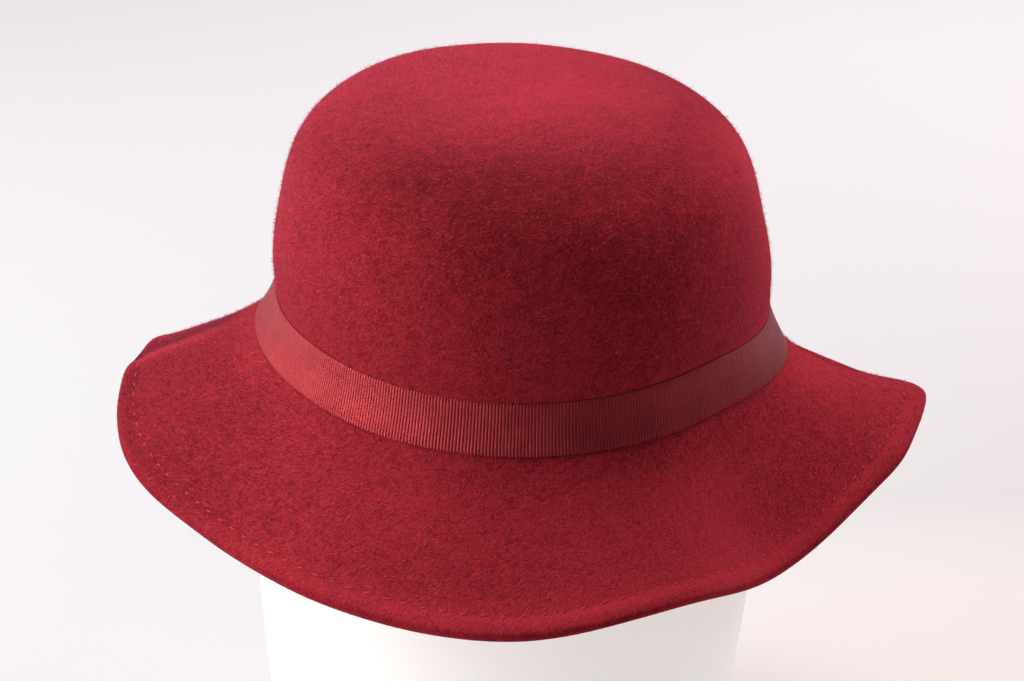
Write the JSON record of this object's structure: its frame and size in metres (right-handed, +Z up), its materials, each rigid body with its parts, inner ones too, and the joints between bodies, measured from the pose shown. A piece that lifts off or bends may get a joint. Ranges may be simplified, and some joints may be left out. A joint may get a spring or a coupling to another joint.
{
  "type": "cloche hat on display stand",
  "caption": "Soft felt cloche hat with a rounded crown, a ribbed ribbon and a drooping wavy brim, resting on an open tapered display stand.",
  "frame": {"origin": "on the ground, under the middle of the whole object's box", "axes": "+Z up, the front of the hat faces -Y, +X to the right as seen from the front"},
  "size_m": [0.2842, 0.2926, 0.2913],
  "materials": {
    "felt": "crimson velour wool felt with a long soft nap",
    "ribbon": "ribbed grosgrain ribbon with a silky sheen",
    "stand": "plain satin white"
  },
  "bodies": {
    "root": {"crown_and_brim": "felt", "ribbon_band": "ribbon", "stand": "stand"}
  },
  "joints": []
}
